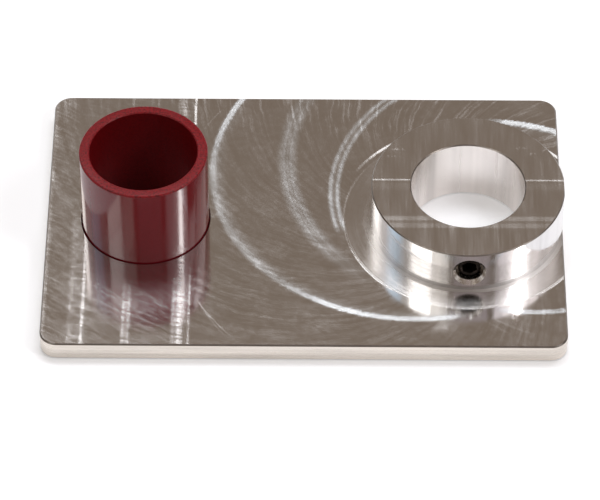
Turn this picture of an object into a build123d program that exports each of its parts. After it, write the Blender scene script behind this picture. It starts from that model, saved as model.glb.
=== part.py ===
from build123d import *
import os

# Machined mounting block: an aluminium plate with a round collar left standing on it,
# a plastic guide sleeve pressed into the plate and a set screw through the collar's wall.
# Sizes are millimetres. +Z is up. The origin is the centre of the plate's underside, the
# sleeve stands towards -X, the collar towards +X, and the set screw faces -Y.

# Plate
plate_length = 150
plate_width = 100
plate_thickness = 6
plate_corner_radius = 5
plate_edge_break = 0.4  # 45 degree break round the top and the bottom face

# Collar, milled in one piece with the plate
collar_outer_dia = 56
collar_height = 14  # above the plate's top face
collar_side_trim = 0.2  # what the plate's side takes off the collar's circle
collar_bore_dia = 33
collar_edge_break = 0.3  # round the collar's top and both ends of its bore

# Tapped hole through the collar's front wall, a plain cylinder of the thread's outer size
thread_dia = 8
countersink_dia = 10.3
countersink_angle = 90

# Set screw with a hexagon socket and a cup point
screw_clearance = 0.05  # radial, in the tapped hole
screw_length = 8
screw_recess = 1.8  # from the collar's front to the screw's outer end
screw_end_chamfer = 0.6
socket_across_flats = 4
socket_depth = 4
cup_dia = 5
cup_depth = 1.4

# Sleeve
sleeve_outer_dia = 37
sleeve_bore_dia = 31
sleeve_height = 27.5  # above the plate's top face
sleeve_side_inset = 28.7  # from the plate's left side to the sleeve's axis
sleeve_rim_radius = 0.6
sleeve_bore_break = 0.3
sleeve_lead_in = 0.5  # chamfer that starts the sleeve into its seat
seat_edge_break = 0.4  # both ends of the sleeve's seat in the plate

# Places that follow from the sizes above
collar_x = plate_length / 2 + collar_side_trim - collar_outer_dia / 2
collar_top = plate_thickness + collar_height
sleeve_x = sleeve_side_inset - plate_length / 2
screw_z = plate_thickness + collar_height / 2
hole_mouth = Plane(origin=(collar_x, -collar_outer_dia / 2, screw_z), x_dir=(1, 0, 0), z_dir=(0, -1, 0))
screw_end = hole_mouth.offset(-screw_recess)
screw_tip = screw_end.offset(-screw_length)

os.makedirs("parts", exist_ok=True)

# Block: plate and collar, machined from one billet
with BuildPart() as block:
    with BuildSketch():
        RectangleRounded(plate_length, plate_width, plate_corner_radius)
    extrude(amount=plate_thickness)
    chamfer(block.faces().filter_by(Axis.Z).edges(), plate_edge_break)

    # The collar is rooted below the plate's edge break and milled flush with the plate's side
    with BuildSketch(Plane.XY.offset(plate_thickness - plate_edge_break)):
        with Locations((collar_x, 0)):
            Circle(collar_outer_dia / 2)
    extrude(amount=collar_height + plate_edge_break)
    chamfer(block.faces().sort_by(Axis.Z)[-1].edges(), collar_edge_break)
    split(bisect_by=Plane.YZ.offset(plate_length / 2), keep=Keep.BOTTOM)

    with Locations((collar_x, 0, collar_top)):
        Hole(collar_bore_dia / 2)
    chamfer(block.edges(Select.LAST).filter_by(GeomType.CIRCLE), collar_edge_break)

    with Locations((sleeve_x, 0, plate_thickness)):
        Hole(sleeve_outer_dia / 2)
    chamfer(block.edges(Select.LAST).filter_by(GeomType.CIRCLE), seat_edge_break)

    # The tapped hole ends on the collar's axis, inside the open bore
    with Locations(hole_mouth):
        CounterSinkHole(
            radius=thread_dia / 2,
            counter_sink_radius=countersink_dia / 2,
            depth=collar_outer_dia / 2,
            counter_sink_angle=countersink_angle,
        )

# Sleeve: a turned tube, flush with the plate's underside
with BuildPart() as sleeve:
    with BuildSketch():
        with Locations((sleeve_x, 0)):
            Circle(sleeve_outer_dia / 2)
            Circle(sleeve_bore_dia / 2, mode=Mode.SUBTRACT)
    extrude(amount=plate_thickness + sleeve_height)
    foot_edges, rim_edges = sleeve.edges().filter_by(GeomType.CIRCLE).group_by(Axis.Z)
    bore_edges = [edges.sort_by(SortBy.RADIUS)[0] for edges in (foot_edges, rim_edges)]
    outer_foot = foot_edges.sort_by(SortBy.RADIUS)[-1]
    outer_rim = rim_edges.sort_by(SortBy.RADIUS)[-1]
    fillet(outer_rim, sleeve_rim_radius)
    chamfer(bore_edges, sleeve_bore_break)
    chamfer(outer_foot, sleeve_lead_in)

# Set screw: chamfered at both ends, socket outwards, cup point towards the bore
with BuildPart() as set_screw:
    with BuildSketch(screw_end):
        Circle(thread_dia / 2 - screw_clearance)
    extrude(amount=-screw_length)
    chamfer(set_screw.edges().filter_by(GeomType.CIRCLE), screw_end_chamfer)
    with BuildSketch(screw_end):
        RegularPolygon(socket_across_flats / 2, side_count=6, major_radius=False)
    extrude(amount=-socket_depth, mode=Mode.SUBTRACT)
    with Locations(screw_tip):
        Cone(
            bottom_radius=cup_dia / 2,
            top_radius=0,
            height=cup_depth,
            align=(Align.CENTER, Align.CENTER, Align.MIN),
            mode=Mode.SUBTRACT,
        )

block.part.label = "block"
export_step(block.part, "parts/block.step")
sleeve.part.label = "sleeve"
export_step(sleeve.part, "parts/sleeve.step")
set_screw.part.label = "set_screw"
export_step(set_screw.part, "parts/set_screw.step")
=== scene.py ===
import math

import bmesh
import bpy
from mathutils import Matrix, Vector


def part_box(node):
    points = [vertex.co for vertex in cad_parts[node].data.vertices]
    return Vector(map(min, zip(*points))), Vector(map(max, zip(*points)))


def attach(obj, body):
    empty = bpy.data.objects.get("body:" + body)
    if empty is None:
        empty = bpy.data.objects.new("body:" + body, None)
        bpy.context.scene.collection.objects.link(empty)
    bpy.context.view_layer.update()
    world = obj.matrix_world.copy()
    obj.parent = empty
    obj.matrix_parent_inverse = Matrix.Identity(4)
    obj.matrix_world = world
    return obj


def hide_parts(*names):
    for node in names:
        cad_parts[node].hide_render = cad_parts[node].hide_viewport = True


# A machined mounting block: an aluminium plate with a round collar standing on it, a garnet
# plastic guide sleeve pressed into the plate and a set screw in the collar's wall.
# +X is the plate's length with the collar at +X, -Y is the front with the set screw, +Z is up.
# Sizes in the dictionaries are millimetres and degrees.

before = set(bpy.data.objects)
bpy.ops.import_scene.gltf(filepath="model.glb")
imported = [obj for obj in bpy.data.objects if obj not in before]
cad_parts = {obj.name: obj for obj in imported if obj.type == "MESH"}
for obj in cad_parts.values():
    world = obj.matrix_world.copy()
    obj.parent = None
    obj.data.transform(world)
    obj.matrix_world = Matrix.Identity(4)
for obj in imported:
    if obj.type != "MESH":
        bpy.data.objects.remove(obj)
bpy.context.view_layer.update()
scene = bpy.context.scene
mm = 0.001


def boxOf(node):
    low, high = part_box(node)
    return Vector(low) / mm, Vector(high) / mm


plateLow, plateHigh = boxOf("block")
sleeveLow, sleeveHigh = boxOf("sleeve")
screwLow, screwHigh = boxOf("set_screw")
sleeveAxis = (sleeveLow + sleeveHigh) / 2
screwAxis = (screwLow + screwHigh) / 2
collarAxis = Vector((screwAxis.x, 0, 0))
print("frame loaded:", ", ".join(sorted(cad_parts)))


def linear(hexColour):
    channels = [int(hexColour[at:at + 2], 16) / 255 for at in (1, 3, 5)]
    return tuple(c / 12.92 if c <= 0.04045 else ((c + 0.055) / 1.055) ** 2.4 for c in channels) + (1.0,)


def addNode(tree, kind, *inputs, out=0, sockets=None, **settings):
    # adds a node with its settings and links, and gives back one of its outputs
    node = tree.nodes.new(kind)
    for name, value in settings.items():
        setattr(node, name, value)
    for name, value in list(enumerate(inputs)) + list((sockets or {}).items()):
        if isinstance(value, bpy.types.NodeSocket):
            tree.links.new(value, node.inputs[name])
        elif value is not None:
            node.inputs[name].default_value = value
    return node.outputs[out] if node.outputs else node


cameraPlace = {
    "azimuth": 0.3,         # from straight in front, + to the right
    "elevation": 46.593,
    "roll": 0.114,
    "distance": 1136.473,
    "aim": (-1.311, -7.057, 0.0),
    "lens": 234.0,
    "sensor": 36.0,
    "clip": (50, 20000),
}


def towards(azimuth, elevation):
    a, e = math.radians(azimuth), math.radians(elevation)
    return Vector((math.sin(a) * math.cos(e), -math.cos(a) * math.cos(e), math.sin(e)))


def addCamera(place):
    data = bpy.data.cameras.new("camera")
    data.lens = place["lens"]
    data.sensor_width = place["sensor"]
    data.clip_start, data.clip_end = (far * mm for far in place["clip"])
    camera = bpy.data.objects.new("camera", data)
    scene.collection.objects.link(camera)
    back = towards(place["azimuth"], place["elevation"])
    right = Vector((0, 0, 1)).cross(back).normalized()
    up = back.cross(right)
    roll = math.radians(place["roll"])
    rolledRight = right * math.cos(roll) + up * math.sin(roll)
    rolledUp = up * math.cos(roll) - right * math.sin(roll)
    camera.rotation_euler = Matrix((rolledRight, rolledUp, back)).transposed().to_euler()
    camera.location = (Vector(place["aim"]) + back * place["distance"]) * mm
    scene.camera = camera


studio = {
    "distance": 1500,
    "room": "#86786c",
    "roomLevel": 1.0,
    # name, azimuth, elevation, width, height (as seen from the block), level, colour
    "softboxes": [
        ("key", 166, 70, 40, 16, 8.0, "#fbfcff"),
        ("leftRear", -142, 46, 14, 16, 2.6, "#fffdfa"),
        ("leftRearFill", -119, 46, 13, 16, 0.6, "#f2f0f4"),
        ("leftBlue", -97, 46, 17, 16, 1.1, "#c4e0f6"),
        ("leftFill", -78, 46, 8, 16, 0.55, "#f2f2f0"),
        ("left", -55, 46, 20, 16, 3.0, "#fffdfa"),
        ("frontLeft", -29, 46, 13, 16, 1.2, "#fbf9f4"),
        ("front", 8, 46, 30, 16, 0.35, "#ded6e4"),
        ("frontRight", 44, 46, 9, 16, 1.0, "#f4f0f6"),
        ("rightStrip", 67, 46, 6, 20, 16.0, "#fffdfe"),
        ("right", 66, 46, 22, 16, 1.5, "#fffbfd"),
        ("rightFill", 91, 46, 12, 16, 1.2, "#fbf5f6"),
        ("rightRear", 122, 46, 28, 16, 0.75, "#f4eeee"),
    ],
}


def addSoftbox(name, azimuth, elevation, width, height, level, colour):
    # level is how bright the box looks, where 1 is white
    lamp = bpy.data.lights.new(name, "AREA")
    lamp.shape = "RECTANGLE"
    away = studio["distance"] * mm
    lamp.size = 2 * away * math.tan(math.radians(width) / 2)
    lamp.size_y = 2 * away * math.tan(math.radians(height) / 2)
    lamp.color = linear(colour)[:3]
    lamp.energy = level * lamp.size * lamp.size_y * math.pi
    box = bpy.data.objects.new(name, lamp)
    scene.collection.objects.link(box)
    box.location = towards(azimuth, elevation) * away
    box.rotation_euler = (-box.location).to_track_quat("-Z", "Y").to_euler()
    box.visible_camera = False


def addRoom(values):
    world = bpy.data.worlds.new("dimRoom")
    world.use_nodes = True
    room = world.node_tree.nodes["Background"]
    room.inputs["Color"].default_value = linear(values["room"])
    room.inputs["Strength"].default_value = values["roomLevel"]
    scene.world = world


addCamera(cameraPlace)
for softbox in studio["softboxes"]:
    addSoftbox(*softbox)
addRoom(studio)
scene.view_settings.view_transform = "Standard"
print("camera and studio placed")

# a round white paper sweep, turned up at its rim
sweep = {
    "radius": 4000,
    "cove": 500,
    "coveSteps": 8,
    "wall": 500,
    "drop": 0.05,           # how far the paper lies under the block
    "around": 96,
    "paper": "#f0f2f5",
    "seenPaper": "#ebeef2",
    "glow": 0.26,
}


def mattePaper(values):
    # Matte white paper. What the eye and the polished faces see of it gets part of its white
    # as glow, so it stays white while the block's shadow still shows.
    material = bpy.data.materials.new("matteWhitePaper")
    material.use_nodes = True
    tree = material.node_tree
    tree.nodes.clear()
    paper = addNode(tree, "ShaderNodeBsdfDiffuse", linear(values["paper"]))
    lit = addNode(tree, "ShaderNodeBsdfDiffuse", linear(values["seenPaper"]))
    glow = addNode(tree, "ShaderNodeEmission", (1, 1, 1, 1), values["glow"])
    bright = addNode(tree, "ShaderNodeAddShader", lit, glow)
    rays = addNode(tree, "ShaderNodeLightPath").node.outputs
    seen = addNode(tree, "ShaderNodeMath", rays["Is Camera Ray"], rays["Is Glossy Ray"], operation="MAXIMUM")
    seen = addNode(tree, "ShaderNodeMath", seen, rays["Is Transmission Ray"], operation="MAXIMUM")
    addNode(tree, "ShaderNodeOutputMaterial", addNode(tree, "ShaderNodeMixShader", seen, paper, bright))
    return material


def addFloor(sizes):
    radius, cove, around = sizes["radius"], sizes["cove"], sizes["around"]
    profile = [(radius - cove, 0.0)]
    for step in range(1, sizes["coveSteps"] + 1):
        angle = math.radians(step * 90 / sizes["coveSteps"])
        profile.append((radius - cove + cove * math.sin(angle), cove * (1 - math.cos(angle))))
    profile.append((radius, cove + sizes["wall"]))
    work = bmesh.new()
    rings = []
    for far, height in profile:
        level = height - sizes["drop"]
        turns = [2 * math.pi * k / around for k in range(around)]
        points = [Vector((far * math.cos(turn), far * math.sin(turn), level)) for turn in turns]
        rings.append([work.verts.new(point * mm) for point in points])
    work.faces.new(rings[0])
    for inner, outer in zip(rings, rings[1:]):
        for k in range(around):
            work.faces.new((inner[k], inner[k - 1], outer[k - 1], outer[k]))
    bmesh.ops.recalc_face_normals(work, faces=work.faces)
    mesh = bpy.data.meshes.new("floor")
    work.to_mesh(mesh)
    work.free()
    mesh.materials.append(mattePaper(sizes))
    floor = bpy.data.objects.new("floor", mesh)
    scene.collection.objects.link(floor)


addFloor(sweep)
print("floor laid")


def startMaterial(name, **values):
    # a Principled surface with its plain values on its own sockets
    material = bpy.data.materials.new(name)
    material.use_nodes = True
    surface = material.node_tree.nodes["Principled BSDF"]
    for socket, value in values.items():
        surface.inputs[socket.replace("_", " ")].default_value = value
    return material, material.node_tree, surface.inputs


def placeInMm(tree):
    # where on the piece, in millimetres
    metres = addNode(tree, "ShaderNodeTexCoord", out="Object")
    return addNode(tree, "ShaderNodeVectorMath", metres, sockets={"Scale": 1 / mm}, operation="SCALE")


def softStep(tree, value, start, end):
    # 0 before start, 1 after end
    return addNode(tree, "ShaderNodeMapRange", value, start, end, 0.0, 1.0, interpolation_type="SMOOTHSTEP")


def levelAt(tree, offset, stops):
    # a level that changes with the offset; stops are (mm or degrees, level)
    low, high = stops[0][0], stops[-1][0]
    share = addNode(tree, "ShaderNodeMapRange", offset, low, high, 0.0, 1.0)
    ramp = addNode(tree, "ShaderNodeValToRGB", share)
    marks = ramp.node.color_ramp.elements
    while len(marks) < len(stops):
        marks.new(0.5)
    for mark, (at, level) in zip(marks, stops):
        mark.position = (at - low) / (high - low)
        mark.color = (level, level, level, 1)
    return ramp


def sumOf(tree, parts):
    # adds (socket, weight) pairs
    total = 0.0
    for socket, weight in parts:
        total = addNode(tree, "ShaderNodeMath", socket, weight, total, operation="MULTIPLY_ADD")
    return total


def stretchedNoise(tree, place, stretch=(1, 1, 1), scale=1.0, detail=3.0, roughness=0.6):
    # noise drawn out along the axes whose stretch is small
    drawn = addNode(tree, "ShaderNodeVectorMath", place, stretch, operation="MULTIPLY")
    cells = {"Scale": scale, "Detail": detail, "Roughness": roughness}
    return addNode(tree, "ShaderNodeTexNoise", drawn, sockets=cells)


def mixColours(tree, surface, share, first, second, **settings):
    colours = {6: first, 7: second}
    mix = addNode(tree, "ShaderNodeMix", share, data_type="RGBA", out=2, sockets=colours, **settings)
    tree.links.new(mix, surface["Base Color"])


def dent(tree, surface, height, strength, depth):
    # shallow relief, depth in mm
    relief = {"Strength": strength, "Distance": depth * mm, "Height": height}
    tree.links.new(addNode(tree, "ShaderNodeBump", sockets=relief), surface["Normal"])


plateTop = {
    "thickness": 6.0,
    "collarRadius": 28.0,
    "boreRadius": 16.5,
    "countersink": 1.15,    # how deep the tapped hole's countersink goes
    "aluminium": "#dcdad8",
    # painted reflection tint: rough seams turn cool in colour, standing in for the bluish light they reflect
    "seamReflectionTint": "#dbdfe2",
    "reflectionTintGain": 9.0,        # how soon a seam takes on its painted cool reflection tint as it gets rougher
    "roughness": 0.095,
    "leastRoughness": 0.03,
    "anisotropy": 0.8,
    # Seams left where one pass of the round cutter meets the next. Each is an arc: centre,
    # radius, the roughness it adds, how far the teeth push it in and out, and how strong it is
    # across itself (mm past the arc) and along itself (degrees from its leftmost point, +
    # towards the front). Those marked inTrack belong to the smooth track round the collar.
    "seams": {
        "bigCore": {
            "centre": (31.7, 19.4), "radius": 59.0, "rough": 0.15, "tooth": 1.5,
            "across": [(-1.4, 0), (-0.5, 0.9), (0.4, 1), (1.1, 0)],
            "along": [(-31, 1), (-22, 0.9), (-10, 0.4), (2, 0.1), (30, 0), (48, 0.05), (58, 0.3),
                      (63, 0.75), (72, 0.85), (88, 0.6), (98, 0.55), (106, 0)],
        },
        "bigShade": {
            "centre": (31.7, 19.4), "radius": 59.0, "rough": 0.085, "tooth": 0.9,
            "across": [(-4.2, 0), (-2.2, 0.5), (-0.6, 1), (0.5, 0.9), (1.6, 0)],
            "along": [(-31, 0.35), (-12, 0.6), (0, 0.9), (35, 0.95), (60, 0.8), (80, 0.6),
                      (100, 0.5), (106, 0)],
        },
        "middle": {
            "centre": (55.4, 24.1), "radius": 60.7, "rough": 0.10, "tooth": 0.3,
            "across": [(-3.4, 0), (-2, 0.55), (-0.9, 0.85), (-0.45, 0.6), (0, 0.75), (0.45, 0.6),
                       (0.9, 0.85), (2, 0.55), (3.4, 0)],
            "along": [(-27, 0.7), (-10, 0.85), (10, 1), (30, 0.9), (39, 0.7), (56, 0)],
        },
        "inner": {
            "centre": (62.9, 10.2), "radius": 54.4, "rough": 0.125, "tooth": 0.3,
            "across": [(-2.1, 0), (-1.4, 0.75), (-0.9, 0.95), (-0.4, 0.6), (0, 0.3), (0.4, 0.6),
                       (0.9, 0.95), (1.4, 0.75), (2.1, 0)],
            "along": [(-47, 0.9), (-25, 0.75), (-5, 0.9), (8, 1), (14, 0.9), (17.5, 0)],
        },
        "behindCollar": {
            "centre": (52.6, -18.8), "radius": 59.6, "rough": 0.17, "tooth": 1.35,
            "across": [(-1.9, 0), (-0.6, 1), (0.6, 1), (1.2, 0)],
            "along": [(-112, 1), (-97, 1), (-94, 0.6), (-90, 0)],
        },
        "behindShade": {
            "centre": (52.6, -18.8), "radius": 59.6, "rough": 0.06, "tooth": 0.6,
            "across": [(-6, 0), (-2, 0.6), (0, 1), (1, 0)],
            "along": [(-112, 1), (-99, 0.9), (-91, 0)],
        },
        "frontRight": {
            "centre": (65.0, 22.4), "radius": 59.0, "rough": 0.13, "tooth": 0.9,
            "across": [(-1.3, 0), (-0.7, 0.9), (0.5, 1), (1.2, 0)],
            "along": [(79, 0), (84, 0.8), (100, 1), (106, 0)],
        },
        "crescent": {
            "centre": (47.2, 0.0), "radius": 37.5, "rough": 0.24, "tooth": 0.0, "inTrack": True,
            "across": [(-0.7, 0), (-0.2, 1), (0.2, 1), (0.6, 0)],
            "along": [(-56, 1), (-47, 1), (-40, 0.4), (-33, 0.25), (-30, 0)],
        },
        "trackEdge": {
            "centre": (47.2, 0.0), "radius": 35.7, "rough": 0.18, "tooth": 0.0, "inTrack": True,
            "across": [(-0.6, 0), (-0.25, 1), (0.25, 1), (0.6, 0)],
            "along": [(-36, 0), (-28, 0.2), (-15, 0.3), (0, 0.25), (14, 0.25), (24, 0.6), (31, 1),
                      (44, 1), (53, 0.4), (62, 0.1), (118, 0.1), (126, 0.7), (140, 1)],
        },
        "trackRing": {
            "centre": (47.2, 0.0), "radius": 29.6, "rough": 0.08, "tooth": 0.0, "inTrack": True,
            "across": [(-0.7, 0), (-0.2, 1), (0.3, 1), (1.0, 0)],
            "along": [(-34, 0), (-20, 0.8), (10, 1), (30, 0.7), (50, 0.2), (60, 0)],
        },
        "wallFoot": {
            "centre": (47.2, 0.0), "radius": 28.0, "rough": 0.36, "tooth": 0.0, "inTrack": True,
            "across": [(0.0, 1), (0.8, 1), (1.5, 0)],
            "along": [(-40, 0.1), (40, 0.3), (65, 0.9), (110, 1), (180, 0.4)],
        },
    },
    "track": {"outer": 35.7, "edge": 0.2, "rough": 0.11, "ringRough": 0.2},
    # the sleeve's end, where the passes run straight along Y: x and level of their edges,
    # behind and in front of the sleeve
    "straight": {
        "start": (-31.9, -32.2),
        "front": (5.0, -5.0),   # y between which one side fades into the other
        "width": 14.5,          # of one pass
        "shift": 1.5,
        "slant": (0.03, 0.5),   # how the tooth marks curve and lean in a pass
        "hatches": (1.3, 0.12),
        "hatchEdges": 2.2,      # how much the tooth marks break up the edges
        "added": 0.015,
        "edgeRough": 0.10,
        "hatchRough": 0.12,
        "behindSleeve": [(-75, 0.5), (-74.2, 0.5), (-73.4, 0.1), (-70, 0.05), (-68, 0), (-38.4, 0),
                         (-37.6, 0.6), (-36.8, 0.25), (-35.8, 0.6), (-35, 0.1), (-33.3, 0.1),
                         (-33, 1.6), (-32.6, 1.6), (-32.3, 0)],
        "beforeSleeve": [(-75, 0.5), (-74.2, 0.5), (-73.4, 0.05), (-68, 0.05), (-66.8, 0.45),
                         (-65, 0.25), (-63.9, 0.3), (-63.5, 1.0), (-63, 0.95), (-62.5, 0.2), (-61, 0),
                         (-52.4, 0), (-51.6, 0.7), (-50.9, 0.35), (-50, 0.65), (-49, 0.05),
                         (-38.2, 0.05), (-37.4, 0.7), (-36.6, 0.6), (-35.7, 1.25), (-34.8, 0.7),
                         (-34.2, 0.1), (-33.3, 0.1), (-33, 0.7), (-32.7, 0.7), (-32.4, 0)],
    },
    # tooth marks on slanted arcs round the collar, drawn coarser than a real cutter's so that
    # they show: how they spiral (by turn, by mm from the collar, by patch), and the noise cells
    # across and along a mark
    "marks": {"spiral": (42.0, 0.6, 3.0), "cells": (0.8, 0.06), "rough": 0.13},
    # where they are clearest: behind a line that leans by this much, between these y
    "clearMarks": {"lean": 0.15, "between": (30.0, 44.0), "line": (0.02, 0.14), "rough": 0.045},
    # what breaks the seams' edges fans out from this centre
    "teeth": {"centre": (45.0, 10.0), "cells": (45.0, 0.02)},
    "rings": (2.0, 0.6),
    "patches": {"cells": 0.09, "rough": 0.08},
    "clouds": {"cells": 0.5, "rough": 0.09},
    "dent": (0.08, 0.02),   # strength and depth
    # soft spots: x, y, half sizes, roughness added
    "spots": [
        (-46.3, -26.0, 22.0, 20.0, 0.055),
        (39.5, -42.5, 6.0, 4.5, 0.05),
        (47.5, -38.6, 1.0, 2.0, 0.10),
        (42.0, 37.5, 12.0, 6.0, 0.02),
        (67.0, 46.0, 14.0, 8.0, 0.025),
    ],
    # scratches: x, y, the far end's x, y, roughness added
    "scratches": [
        (-31.3, -31.6, -18.5, -48.9, 0.06),
        (-29.6, -35.0, -20.6, -48.5, 0.04),
        (-25.0, 45.0, -30.4, 36.0, 0.05),
        (-23.0, 40.0, -29.0, 30.0, -0.03),
        (52.0, -38.0, 66.0, -45.5, 0.04),
        (50.5, -39.0, 60.0, -46.0, 0.03),
    ],
    "scratch": {"bow": 0.006, "half": 0.08, "soft": 0.3, "fade": [(0, 0), (0.15, 1), (0.7, 0.8), (1, 0)]},
}


def streaks(tree, along, across, cells):
    # noise drawn out along the marks, -0.5 to 0.5; cells are those across and along a mark
    fine = addNode(tree, "ShaderNodeMath", along, cells[0], operation="MULTIPLY")
    long = addNode(tree, "ShaderNodeMath", across, cells[1], operation="MULTIPLY")
    noise = stretchedNoise(tree, addNode(tree, "ShaderNodeCombineXYZ", fine, long, 0.0))
    return addNode(tree, "ShaderNodeMath", noise, 0.5, operation="SUBTRACT")


def seamLevels(tree, flat, teeth, seams):
    # how strong each seam is, as (seam, level) pairs
    arcs = {}
    levels = []
    for seam in seams.values():
        arc = seam["centre"], seam["radius"]
        if arc not in arcs:
            away = addNode(tree, "ShaderNodeVectorMath", (*seam["centre"], 0), flat, operation="SUBTRACT")
            far = addNode(tree, "ShaderNodeVectorMath", away, operation="LENGTH", out="Value")
            past = addNode(tree, "ShaderNodeMath", far, seam["radius"], operation="SUBTRACT")
            toLeft, toFront = addNode(tree, "ShaderNodeSeparateXYZ", away).node.outputs[:2]
            turn = addNode(tree, "ShaderNodeMath", toFront, toLeft, operation="ARCTAN2")
            arcs[arc] = past, addNode(tree, "ShaderNodeMath", turn, operation="DEGREES")
        past, angle = arcs[arc]
        if seam["tooth"]:
            past = addNode(tree, "ShaderNodeMath", teeth, seam["tooth"], past, operation="MULTIPLY_ADD")
        across, along = levelAt(tree, past, seam["across"]), levelAt(tree, angle, seam["along"])
        levels.append((seam, addNode(tree, "ShaderNodeMath", across, along, operation="MULTIPLY")))
    return levels


def straightEdges(tree, x, y, hatches, values):
    # the edges of the straight passes, broken up by the tooth marks
    inFront = softStep(tree, y, *values["front"])
    behind, before = (levelAt(tree, x, values[name]) for name in ("behindSleeve", "beforeSleeve"))
    edges = addNode(tree, "ShaderNodeMix", inFront, sockets={2: behind, 3: before})
    broken = addNode(tree, "ShaderNodeMath", hatches, values["hatchEdges"], 1.0, operation="MULTIPLY_ADD")
    return addNode(tree, "ShaderNodeMath", edges, broken, operation="MULTIPLY")


def spotLevel(tree, place, x, y, halfX, halfY, core):
    # 1 in a spot's core, 0 outside it; core is a share of its half sizes
    away = addNode(tree, "ShaderNodeVectorMath", place, (x, y, 0), operation="SUBTRACT")
    share = addNode(tree, "ShaderNodeVectorMath", away, (1 / halfX, 1 / halfY, 0), operation="MULTIPLY")
    far = addNode(tree, "ShaderNodeVectorMath", share, operation="LENGTH", out="Value")
    return softStep(tree, far, 1.0, core)


def scratchLevel(tree, flat, start, end, values):
    # a thin bowed line between two places, fading towards its ends
    run = Vector((*end, 0)) - Vector((*start, 0))
    way = run.normalized()
    away = addNode(tree, "ShaderNodeVectorMath", flat, (*start, 0), operation="SUBTRACT")
    along, aside = (
        addNode(tree, "ShaderNodeVectorMath", away, axis, operation="DOT_PRODUCT", out="Value")
        for axis in (tuple(way), (-way.y, way.x, 0)))
    left = addNode(tree, "ShaderNodeMath", run.length, along, operation="SUBTRACT")
    arch = addNode(tree, "ShaderNodeMath", along, left, operation="MULTIPLY")
    offset = addNode(tree, "ShaderNodeMath", arch, values["bow"], aside, operation="MULTIPLY_ADD")
    offset = addNode(tree, "ShaderNodeMath", offset, operation="ABSOLUTE")
    line = softStep(tree, offset, values["half"] + values["soft"], values["half"])
    fade = levelAt(tree, along, [(run.length * share, level) for share, level in values["fade"]])
    return addNode(tree, "ShaderNodeMath", line, fade, operation="MULTIPLY")


def turnAbout(tree, x, y, centreX, centreY):
    # the angle about a centre, in radians
    aside = addNode(tree, "ShaderNodeMath", x, centreX, operation="SUBTRACT")
    ahead = addNode(tree, "ShaderNodeMath", y, centreY, operation="SUBTRACT")
    return addNode(tree, "ShaderNodeMath", ahead, aside, operation="ARCTAN2")


def seamRoughness(tree, x, y, flat, outTrack, values):
    # what the seams outside the track add, and what all the seams add
    toothTurn = turnAbout(tree, x, y, *values["teeth"]["centre"])
    teeth = streaks(tree, toothTurn, flat, values["teeth"]["cells"])  # flat counts as its mean here
    levels = seamLevels(tree, flat, teeth, values["seams"])
    outside = sumOf(tree, [(level, seam["rough"]) for seam, level in levels if "inTrack" not in seam])
    around = sumOf(tree, [(level, seam["rough"]) for seam, level in levels if "inTrack" in seam])
    return outside, addNode(tree, "ShaderNodeMath", outside, outTrack, around, operation="MULTIPLY_ADD")


def straightParts(tree, x, y, values):
    # the straight passes at the sleeve's end, with short slanted tooth marks
    atSleeve = softStep(tree, x, *values["start"])
    half = values["width"] / 2
    passX = addNode(tree, "ShaderNodeMath", x, values["shift"], operation="ADD")
    passX = addNode(tree, "ShaderNodeMath", passX, -half, half, operation="WRAP")
    bend = addNode(tree, "ShaderNodeMath", passX, passX, operation="MULTIPLY")
    slant = sumOf(tree, [(bend, values["slant"][0]), (passX, values["slant"][1]), (y, 1.0)])
    hatches = streaks(tree, slant, x, values["hatches"])
    edges = straightEdges(tree, x, y, hatches, values)
    hatches = addNode(tree, "ShaderNodeMath", hatches, atSleeve, operation="MULTIPLY")
    return [(edges, values["edgeRough"]), (atSleeve, values["added"]), (hatches, values["hatchRough"])]


def clearLines(tree, x, y, marks, values):
    # the tooth marks where they are clearest, behind the collar
    behind = softStep(tree, sumOf(tree, [(y, 1.0), (x, values["lean"])]), *values["between"])
    lines = softStep(tree, marks, *values["line"])
    return addNode(tree, "ShaderNodeMath", lines, behind, operation="MULTIPLY")


def wearParts(tree, flat, values):
    # soft spots and scratches
    parts = []
    for *spot, rough in values["spots"]:
        parts.append((spotLevel(tree, flat, *spot, 0.0), rough))
    for startX, startY, endX, endY, rough in values["scratches"]:
        line = scratchLevel(tree, flat, (startX, startY), (endX, endY), values["scratch"])
        parts.append((line, rough))
    return parts


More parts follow.
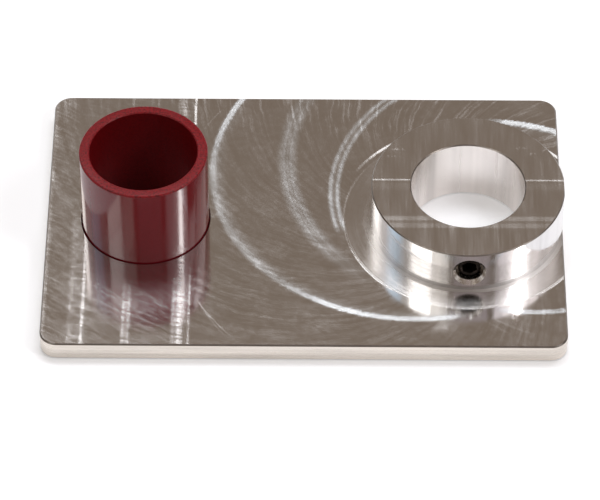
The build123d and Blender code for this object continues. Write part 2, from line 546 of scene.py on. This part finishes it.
def faceMilledAluminium(values):
    # Aluminium face milled with a round cutter. Each pass leaves fine arcs across its width
    # and a rougher, brighter seam along its edge; the track round the collar is smooth
    # enough to mirror its wall.
    metal = linear(values["aluminium"])
    material, tree, surface = startMaterial(
        "faceMilledAluminium", Base_Color=metal, Metallic=1.0, Roughness=values["roughness"],
        Anisotropic=values["anisotropy"])
    x, y = addNode(tree, "ShaderNodeSeparateXYZ", placeInMm(tree)).node.outputs[:2]
    flat = addNode(tree, "ShaderNodeCombineXYZ", x, y, 0.0)
    cells = {"Scale": values["patches"]["cells"], "Detail": 3.0}
    patches = addNode(tree, "ShaderNodeTexNoise", flat, sockets=cells)
    clouds = stretchedNoise(tree, flat, scale=values["clouds"]["cells"], detail=4.0)

    # the track round the collar
    track = values["track"]
    collar = (collarAxis.x, 0, 0)
    fromCollar = addNode(tree, "ShaderNodeVectorMath", flat, collar, operation="DISTANCE", out="Value")
    turn = turnAbout(tree, x, y, collarAxis.x, 0.0)
    inTrack = softStep(tree, fromCollar, track["outer"] + track["edge"], track["outer"] - track["edge"])
    outTrack = addNode(tree, "ShaderNodeMath", 1.0, inTrack, operation="SUBTRACT")
    rings = streaks(tree, fromCollar, turn, values["rings"])
    rings = addNode(tree, "ShaderNodeMath", rings, inTrack, operation="MULTIPLY")

    # the tooth marks and the seams
    spiral = sumOf(tree, list(zip((turn, fromCollar, patches), values["marks"]["spiral"])))
    marks = streaks(tree, spiral, fromCollar, values["marks"]["cells"])
    lines = clearLines(tree, x, y, marks, values["clearMarks"])
    outside, seams = seamRoughness(tree, x, y, flat, outTrack, values)

    parts = [
        (seams, 1.0),
        (inTrack, track["rough"]),
        (rings, track["ringRough"]),
        (addNode(tree, "ShaderNodeMath", marks, outTrack, operation="MULTIPLY"), values["marks"]["rough"]),
        (addNode(tree, "ShaderNodeMath", lines, outTrack, operation="MULTIPLY"), values["clearMarks"]["rough"]),
        (addNode(tree, "ShaderNodeMath", clouds, 0.5, operation="SUBTRACT"), values["clouds"]["rough"]),
        (addNode(tree, "ShaderNodeMath", patches, 0.5, operation="SUBTRACT"), values["patches"]["rough"]),
    ]
    parts += straightParts(tree, x, y, values["straight"]) + wearParts(tree, flat, values)
    rough = addNode(tree, "ShaderNodeMath", sumOf(tree, parts), values["roughness"], operation="ADD")
    rough = addNode(tree, "ShaderNodeMath", rough, values["leastRoughness"], operation="MAXIMUM")
    tree.links.new(rough, surface["Roughness"])

    # a reflection smears along Y, and outwards in the track
    away = addNode(tree, "ShaderNodeVectorMath", flat, collar, operation="SUBTRACT")
    away = addNode(tree, "ShaderNodeVectorMath", away, operation="NORMALIZE")
    ways = {4: (0, 1, 0), 5: away}
    smear = addNode(tree, "ShaderNodeMix", inTrack, data_type="VECTOR", out=1, sockets=ways)
    tree.links.new(smear, surface["Tangent"])
    # painted reflection tint: the seams' base colour turns cool as they get rougher, in place of the bluish
    # light they reflect
    paintedTint = addNode(tree, "ShaderNodeMath", outside, values["reflectionTintGain"], operation="MULTIPLY", use_clamp=True)
    mixColours(tree, surface, paintedTint, metal, linear(values["seamReflectionTint"]))
    dent(tree, surface, addNode(tree, "ShaderNodeMath", marks, rings, operation="ADD"), *values["dent"])
    return material


collarTop = {
    "aluminium": "#dcdad8",
    "roughness": 0.10,
    "anisotropy": 0.8,
    # straight passes along X: y and level
    "passes": [(-28, 0), (-17.2, 0), (-16.7, 0.8), (-15.3, 0.8), (-14.9, 0.25), (-14.2, 0.25),
               (-13.8, 1), (-12.6, 1), (-12.0, 0), (-2.2, 0.05), (-1.2, 0.35), (0.6, 0.4), (1.4, 0.1),
               (1.8, 0.2), (2.1, 2.2), (2.4, 2.2), (2.7, 0.1), (5, 0), (28, 0)],
    "passRough": 0.055,
    "lines": {"stretch": (1.8, 0.08, 0), "rough": 0.13},
    "columns": {"stretch": (0.25, 0.05, 0), "rough": 0.12},
    "dashes": {"stretch": (1.1, 0.9, 0), "between": (0.42, 0.6), "rough": 0.06},
    "dent": (0.08, 0.02),
    # spots filled with dashes: x, y and half sizes
    "spots": [(26.8, 14.7, 4.0, 0.8), (25.0, 11.8, 3.2, 0.6), (62.8, 15.4, 2.2, 0.8),
              (66.0, 13.0, 2.0, 0.7), (69.5, 15.0, 1.2, 1.4)],
    "spotCore": 0.4,
}


def flyCutAluminium(values):
    # Aluminium faced in straight passes along X; each leaves a light band at its edge
    material, tree, surface = startMaterial(
        "flyCutAluminium", Base_Color=linear(values["aluminium"]), Metallic=1.0,
        Roughness=values["roughness"], Anisotropic=values["anisotropy"])
    place = placeInMm(tree)
    y = addNode(tree, "ShaderNodeSeparateXYZ", place, out="Y")
    lines = stretchedNoise(tree, place, values["lines"]["stretch"])
    columns = stretchedNoise(tree, place, values["columns"]["stretch"], detail=2.0, roughness=0.5)
    dashes = stretchedNoise(tree, place, values["dashes"]["stretch"], detail=2.0, roughness=0.5)
    dashes = softStep(tree, dashes, *values["dashes"]["between"])
    parts = [
        (levelAt(tree, y, values["passes"]), values["passRough"]),
        (addNode(tree, "ShaderNodeMath", lines, 0.5, operation="SUBTRACT"), values["lines"]["rough"]),
        (addNode(tree, "ShaderNodeMath", columns, 0.5, operation="SUBTRACT"), values["columns"]["rough"]),
    ]
    for spot in values["spots"]:
        inSpot = spotLevel(tree, place, *spot, values["spotCore"])
        inSpot = addNode(tree, "ShaderNodeMath", inSpot, dashes, operation="MULTIPLY")
        parts.append((inSpot, values["dashes"]["rough"]))
    rough = addNode(tree, "ShaderNodeMath", sumOf(tree, parts), values["roughness"], operation="ADD")
    tree.links.new(rough, surface["Roughness"])
    tree.links.new(addNode(tree, "ShaderNodeCombineXYZ", 0.0, 1.0, 0.0), surface["Tangent"])
    dent(tree, surface, lines, *values["dent"])
    return material


walls = {
    "streaks": {"between": (0.4, 0.75), "rough": 0.14, "dent": 0.3},
    # painted shade: broad bands that darken a wall's colour, in place of the darker streaks in its reflections
    "paintedShadeBands": {"cells": 0.3, "between": (0.35, 0.65), "dark": 0.82},  # cells are a share of the streaks'
    # material, colour, roughness, how the streaks are drawn out, streaks per mm, their depth
    "finishes": {
        # end milled round: upright streaks in a bright wall
        "collarWall": ("endMilledAluminium", "#e6e5e6", 0.08, (1.0, 1.0, 0.06), 0.8, 0.01),
        # bored with one fine point: upright streaks and a softer shine
        "bore": ("boredAluminium", "#f2ece8", 0.18, (1.0, 1.0, 0.04), 0.7, 0.02),
        # side milled along the plate: level lines
        "side": ("sideMilledAluminium", "#e4dcd3", 0.22, (0.03, 0.03, 1.0), 2.2, 0.03),
        "under": ("flatMilledAluminium", "#d8d3cd", 0.25, (0.3, 0.3, 0.3), 1.0, 0.01),
        # broken with a small chamfer tool and left duller than the faces; its darker colour is painted shade
        # for the dark line the edges show
        "edge": ("brokenEdgeShadedAluminium", "#8f8983", 0.28, (1.0, 1.0, 1.0), 1.5, 0.02),
        "tapped": ("tappedAluminium", "#d2ccc6", 0.22, (1.0, 1.0, 1.0), 1.5, 0.02),
    },
}


def machinedWall(name, colour, roughness, stretch, lines, depth):
    # a wall cut by the side of the tool: its streaks dull it a little, and broad bands darken its colour as
    # painted shade, standing in for the darker streaks seen in its reflections
    marks, paintedShadeBands = walls["streaks"], walls["paintedShadeBands"]
    metal = linear(colour)
    material, tree, surface = startMaterial(name, Base_Color=metal, Metallic=1.0, Roughness=roughness)
    place = placeInMm(tree)
    streak = stretchedNoise(tree, place, stretch, scale=lines)
    dull = softStep(tree, streak, *marks["between"])
    rough = addNode(tree, "ShaderNodeMath", dull, marks["rough"], roughness, operation="MULTIPLY_ADD")
    tree.links.new(rough, surface["Roughness"])
    broad = stretchedNoise(tree, place, stretch, scale=lines * paintedShadeBands["cells"], detail=2.0, roughness=0.5)
    shade = addNode(tree, "ShaderNodeMapRange", broad, *paintedShadeBands["between"], paintedShadeBands["dark"], 1.0)
    mixColours(tree, surface, 1.0, metal, shade, blend_type="MULTIPLY")
    dent(tree, surface, streak, marks["dent"], depth)
    return material


aluminium = {"plateTop": faceMilledAluminium(plateTop), "collarTop": flyCutAluminium(collarTop)}
for face, finish in walls["finishes"].items():
    aluminium[face] = machinedWall(*finish)

faces = {
    "level": 0.001,         # corners within this height make a level face
    "near": 0.02,
    "wallFoot": 0.5,        # the collar's wall may start this far under the plate's top
    "tappedRadius": 5.3,
    "tappedBack": -15,
    "edge": 1.0,            # broken edges are no taller or wider than this
}


def zoneOf(corners):
    # which machined face a triangle belongs to, from where its corners lie
    fromCollar = [(corner.xy - collarAxis.xy).length for corner in corners]
    fromScrew = [math.hypot(corner.x - screwAxis.x, corner.z - screwAxis.z) for corner in corners]
    low, high = min(corner.z for corner in corners), max(corner.z for corner in corners)

    def allAt(values, level):
        return max(abs(value - level) for value in values) < faces["near"]

    if high - low < faces["level"]:
        if high < faces["level"]:
            return "under"
        return "plateTop" if abs(high - plateTop["thickness"]) < faces["near"] else "collarTop"
    if allAt(fromCollar, plateTop["collarRadius"]) and low > plateTop["thickness"] - faces["wallFoot"]:
        return "collarWall"
    if allAt(fromCollar, plateTop["boreRadius"]):
        return "bore"
    if max(fromScrew) < faces["tappedRadius"] and max(corner.y for corner in corners) < faces["tappedBack"]:
        return "tapped"
    atEnd = allAt([abs(corner.x) for corner in corners], plateHigh.x)
    atFront = allAt([abs(corner.y) for corner in corners], plateHigh.y)
    outOfCollar = max(fromCollar) > plateTop["collarRadius"] + faces["edge"]
    if atEnd or atFront or (high - low > faces["edge"] and outOfCollar):
        return "side"
    return "edge"


def finishMesh(mesh, sharpFrom=30):
    mesh.shade_smooth()
    mesh.set_sharp_from_angle(angle=math.radians(sharpFrom))


def dressNode(nodeName, pieceName, finishes, zone):
    # a CAD node's own form, with a finish for each machined face
    work = bmesh.new()
    work.from_mesh(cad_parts[nodeName].data)
    bmesh.ops.remove_doubles(work, verts=work.verts, dist=0.001 * mm)
    work.verts.index_update()
    names = list(finishes)
    points = [vert.co.copy() for vert in work.verts]
    corners = [[vert.index for vert in face.verts] for face in work.faces]
    zones = [names.index(zone([vert.co / mm for vert in face.verts])) for face in work.faces]
    work.free()
    mesh = bpy.data.meshes.new(pieceName)
    mesh.from_pydata(points, [], corners)
    for name in names:
        mesh.materials.append(finishes[name])
    mesh.polygons.foreach_set("material_index", zones)
    finishMesh(mesh)
    piece = bpy.data.objects.new(pieceName, mesh)
    scene.collection.objects.link(piece)
    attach(piece, "root")
    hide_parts(nodeName)


dressNode("block", "machined_block", aluminium, zoneOf)
print("block dressed")

sleeveLook = {
    "wall": 3.0,
    "near": 0.1,
    "rimHeight": 0.62,      # from the top down to where the turned rim ends
    "specks": {"cells": 1.7, "between": (0.42, 0.68)},
    "drag": {"stretch": (0.9, 0.9, 0.05), "cells": 0.8, "between": (0.4, 0.7), "rough": 0.06},
    "dent": 0.5,
    # colour, colour of the specks, how much they show, roughness, shine, depth
    "finishes": {
        "wall": ("#6e0f1a", "#5a0d14", 0.3, 0.10, 0.5, 0.01),
        "rim": ("#82161d", "#470a0f", 1.0, 0.34, 0.22, 0.16),
        # painted shade: the bore's colour and specks are darker, as shade falls inside the sleeve
        "shadedInside": ("#6c0a10", "#4a060b", 0.6, 0.45, 0.05, 0.03),
    },
}


def turnedGarnetPlastic(name, values):
    # Garnet acetal rod, turned: a glossy wall with faint upright drag, a rim faced off dull with tiny torn
    # specks, and a duller bore, whose darker colour is painted shade.
    colour, speckColour, showing, roughness, shine, depth = values
    marks, drawn = sleeveLook["specks"], sleeveLook["drag"]
    material, tree, surface = startMaterial(
        name, Base_Color=linear(colour), Roughness=roughness, IOR=1.5, Specular_IOR_Level=shine)
    place = placeInMm(tree)
    noise = {"Scale": marks["cells"], "Detail": 3.0, "Roughness": 0.7}
    specks = addNode(tree, "ShaderNodeTexNoise", place, sockets=noise)
    drag = stretchedNoise(tree, place, drawn["stretch"], scale=drawn["cells"], roughness=0.5)
    drag = softStep(tree, drag, *drawn["between"])
    share = softStep(tree, specks, *marks["between"])
    share = addNode(tree, "ShaderNodeMath", share, showing, operation="MULTIPLY")
    mixColours(tree, surface, share, linear(colour), linear(speckColour))
    rough = addNode(tree, "ShaderNodeMath", drag, drawn["rough"], roughness, operation="MULTIPLY_ADD")
    tree.links.new(rough, surface["Roughness"])
    dent(tree, surface, specks, sleeveLook["dent"], depth)
    return material


def sleeveZone(corners):
    fromAxis = [(corner.xy - sleeveAxis.xy).length for corner in corners]
    boreRadius = (sleeveHigh.x - sleeveLow.x) / 2 - sleeveLook["wall"]
    if min(corner.z for corner in corners) > sleeveHigh.z - sleeveLook["rimHeight"]:
        return "rim"
    return "shadedInside" if max(fromAxis) < boreRadius + sleeveLook["near"] else "wall"


garnet = {}
for face, finish in sleeveLook["finishes"].items():
    garnet[face] = turnedGarnetPlastic(face + "GarnetPlastic", finish)
dressNode("sleeve", "turned_sleeve", garnet, sleeveZone)
print("sleeve dressed")

threads = {
    "pitch": 1.25,
    "majorRadius": 4.0,
    "minorRadius": 3.32,
    "flank": 30.0,
    "clearance": 0.05,
    "sunk": 0.02,           # how far a ridge's root lies in the metal
    "steps": 40,            # points in one turn
    "screwEnds": 0.45,      # left plain at either end of the screw
    "screwRunOut": 0.07,    # share of the ridge that tapers away
    "holeStart": 0.1,
    "holeEnds": 0.5,
    "holeRunOut": 0.05,
    "taperedTo": 0.02,
}


def threadTree():
    # a ridge swept along a helix, tapered away at both ends
    tree = bpy.data.node_groups.new("threadRidge", "GeometryNodeTree")
    for name, kind, value in (
        ("Root Radius", "Float", 3.2), ("Pitch", "Float", 1.25), ("Turns", "Float", 4.0),
        ("Steps", "Int", 40), ("Height", "Float", 0.7), ("Root Width", "Float", 1.0),
        ("Crest Width", "Float", 0.15), ("Run Out", "Float", 0.08), ("Facing", "Float", -90.0),
        ("Place", "Vector", (0, 0, 0)), ("Turn", "Vector", (0, 0, 0)), ("Material", "Material", None),
    ):
        socket = tree.interface.new_socket(name, in_out="INPUT", socket_type="NodeSocket" + kind)
        if value is not None:
            socket.default_value = value
    tree.interface.new_socket("Geometry", in_out="OUTPUT", socket_type="NodeSocketGeometry")
    given = tree.nodes.new("NodeGroupInput").outputs
    length = addNode(tree, "ShaderNodeMath", given["Turns"], given["Pitch"], operation="MULTIPLY")
    radius = given["Root Radius"]
    helix = addNode(tree, "GeometryNodeCurveSpiral", given["Steps"], given["Turns"], radius, radius, length)
    helix = addNode(tree, "GeometryNodeSetCurveNormal", helix, mode="Z_UP")
    sizes = {
        "Height": given["Height"], "Bottom Width": given["Root Width"], "Top Width": given["Crest Width"],
        "Offset": 0.0,
    }
    section = addNode(tree, "GeometryNodeCurvePrimitiveQuadrilateral", mode="TRAPEZOID", sockets=sizes)
    lift = addNode(tree, "ShaderNodeMath", given["Height"], 0.5, operation="MULTIPLY")
    lift = addNode(tree, "ShaderNodeCombineXYZ", 0.0, lift, 0.0)
    section = addNode(tree, "GeometryNodeTransform", section, sockets={"Translation": lift})
    facing = addNode(tree, "ShaderNodeMath", given["Facing"], operation="RADIANS")
    facing = addNode(tree, "ShaderNodeCombineXYZ", 0.0, 0.0, facing)
    section = addNode(tree, "GeometryNodeTransform", section, sockets={"Rotation": facing})
    along = addNode(tree, "GeometryNodeSplineParameter")
    left = addNode(tree, "ShaderNodeMath", 1.0, along, operation="SUBTRACT")
    fromEnd = addNode(tree, "ShaderNodeMath", along, left, operation="MINIMUM")
    taper = addNode(tree, "ShaderNodeMapRange", fromEnd, 0.0, given["Run Out"], threads["taperedTo"], 1.0)
    sweeping = {"Scale": taper, "Fill Caps": True}
    placing = {"Translation": given["Place"], "Rotation": given["Turn"]}
    ridge = addNode(tree, "GeometryNodeCurveToMesh", helix, section, sockets=sweeping)
    ridge = addNode(tree, "GeometryNodeTransform", ridge, sockets=placing)
    ridge = addNode(tree, "GeometryNodeRealizeInstances", ridge)
    ridge = addNode(tree, "GeometryNodeSetMaterial", ridge, sockets={"Material": given["Material"]})
    addNode(tree, "NodeGroupOutput", ridge)
    return tree


def runTree(tree, name, values):
    # a tree's result as a plain mesh object
    carrier = bpy.data.objects.new(name, bpy.data.meshes.new(name))
    scene.collection.objects.link(carrier)
    modifier = carrier.modifiers.new("build", "NODES")
    modifier.node_group = tree
    for item in tree.interface.items_tree:
        if item.in_out == "INPUT" and item.name in values:
            modifier[item.identifier] = values[item.name]
    carrier.update_tag()
    evaluated = carrier.evaluated_get(bpy.context.evaluated_depsgraph_get())
    made = bpy.data.meshes.new_from_object(evaluated)
    carrier.modifiers.remove(modifier)
    for vert in made.vertices:
        vert.co *= mm
    carrier.data = made
    return carrier


blackOxide = {
    "colour": "#1f1b18",
    "worn": "#33271f",
    "metallic": 0.7,
    "roughness": 0.32,
    "cells": 1.6,
    "between": (0.3, 0.7),
    "roughBetween": (0.24, 0.42),
    "wornBetween": (0.45, 0.7),
    "dent": (0.3, 0.02),
}


def steelBlackOxide(values):
    # Hardened steel, black oxide and a little oil: nearly black with a soft shine
    colour = linear(values["colour"])
    material, tree, surface = startMaterial(
        "blackOxideSteel", Base_Color=colour, Metallic=values["metallic"], Roughness=values["roughness"])
    cells = {"Scale": values["cells"], "Detail": 3.0}
    noise = addNode(tree, "ShaderNodeTexNoise", placeInMm(tree), sockets=cells)
    rough = addNode(tree, "ShaderNodeMapRange", noise, *values["between"], *values["roughBetween"])
    tree.links.new(rough, surface["Roughness"])
    mixColours(tree, surface, softStep(tree, noise, *values["wornBetween"]), colour, linear(values["worn"]))
    dent(tree, surface, noise, *values["dent"])
    return material


setScrew = {
    "coreRadius": 3.26,
    "endRadius": 2.75,      # flat ring round the socket
    "endChamfer": 0.5,
    "socket": 4.0,          # across flats
    "socketDepth": 4.0,
    "socketMouth": 2.42,    # radius of the small lead-in
    "mouthDepth": 0.25,
    "drillPoint": 0.6,
    "cupRadius": 2.5,
    "cupDepth": 1.4,
    "facets": 48,           # a multiple of 12, so that the socket has true corners
    "hexTurn": 10.0,
}


def addScrewBody(sizes, material):
    # rings of points from the socket's floor out, down the outside and into the cup
    length = screwHigh.y - screwLow.y
    count = sizes["facets"]
    socket, core, chamfer = sizes["socket"] / 2, sizes["coreRadius"], sizes["endChamfer"]
    # depth, radius, six sided
    rings = [
        (sizes["socketDepth"], socket, True),
        (sizes["mouthDepth"], socket, True),
        (0.0, sizes["socketMouth"], False),
        (0.0, sizes["endRadius"], False),
        (chamfer, core, False),
        (length - chamfer, core, False),
        (length, sizes["endRadius"], False),
        (length, sizes["cupRadius"], False),
    ]
    work = bmesh.new()

    def pointAt(depth, radius, turn):
        x, z = screwAxis.x + radius * math.cos(turn), screwAxis.z + radius * math.sin(turn)
        return work.verts.new(Vector((x, screwLow.y + depth, z)) * mm)

    def ring(depth, radius, sixSided):
        points = []
        for k in range(count):
            angle = 2 * math.pi * k / count
            far = radius
            if sixSided:
                far = radius / math.cos((angle + math.pi / 6) % (math.pi / 3) - math.pi / 6)
            points.append(pointAt(depth, far, angle + math.radians(sizes["hexTurn"])))
        return points

    loops = [ring(*spec) for spec in rings]
    for first, second in zip(loops, loops[1:]):
        for k in range(count):
            work.faces.new((first[k - 1], first[k], second[k], second[k - 1]))
    socketFloor = pointAt(sizes["socketDepth"] + sizes["drillPoint"], 0, 0)
    cupFloor = pointAt(length - sizes["cupDepth"], 0, 0)
    for loop, point in ((loops[0], socketFloor), (loops[-1], cupFloor)):
        for k in range(count):
            work.faces.new((loop[k - 1], loop[k], point))
    bmesh.ops.recalc_face_normals(work, faces=work.faces)
    mesh = bpy.data.meshes.new("socket_screw")
    work.to_mesh(mesh)
    work.free()
    mesh.materials.append(material)
    body = bpy.data.objects.new("socket_screw", mesh)
    scene.collection.objects.link(body)
    return body


def addThread(name, tree, rootRadius, height, crestWidth, start, length, values):
    # one ridge along the screw's axis; start is the y where it begins
    flanks = 2 * height * math.tan(math.radians(threads["flank"]))
    return runTree(tree, name, {
        "Root Radius": rootRadius, "Pitch": threads["pitch"], "Turns": length / threads["pitch"],
        "Steps": threads["steps"], "Height": height, "Crest Width": crestWidth,
        "Root Width": crestWidth + flanks, "Place": (screwAxis.x, start, screwAxis.z),
        "Turn": (-math.pi / 2, 0, 0), **values})


def addScrewThread(sizes, tree, material):
    rootRadius = setScrew["coreRadius"] - sizes["sunk"]
    height = sizes["majorRadius"] - sizes["clearance"] - rootRadius
    start = screwLow.y + sizes["screwEnds"]
    length = screwHigh.y - screwLow.y - 2 * sizes["screwEnds"]
    outwards = {"Run Out": sizes["screwRunOut"], "Facing": -90.0, "Material": material}
    return addThread("screw_thread", tree, rootRadius, height, sizes["pitch"] / 8, start, length, outwards)


def addTappedThread(sizes, tree, material):
    # runs from the countersink to the bore
    rootRadius = sizes["majorRadius"] + sizes["sunk"]
    height = rootRadius - sizes["minorRadius"]
    front = plateTop["countersink"] - plateTop["collarRadius"]
    length = -plateTop["boreRadius"] - front - sizes["holeEnds"]
    start = front + sizes["holeStart"]
    inwards = {"Run Out": sizes["holeRunOut"], "Facing": 90.0, "Material": material}
    return addThread("tapped_thread", tree, rootRadius, height, sizes["pitch"] / 4, start, length, inwards)


blackSteel = steelBlackOxide(blackOxide)
ridgeTree = threadTree()
screwBody = addScrewBody(setScrew, blackSteel)
screwThread = addScrewThread(threads, ridgeTree, blackSteel)
tappedThread = addTappedThread(threads, ridgeTree, aluminium["tapped"])
for piece in (screwBody, screwThread, tappedThread):
    finishMesh(piece.data)
    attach(piece, "root")
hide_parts("set_screw")
print("set screw and threads made")
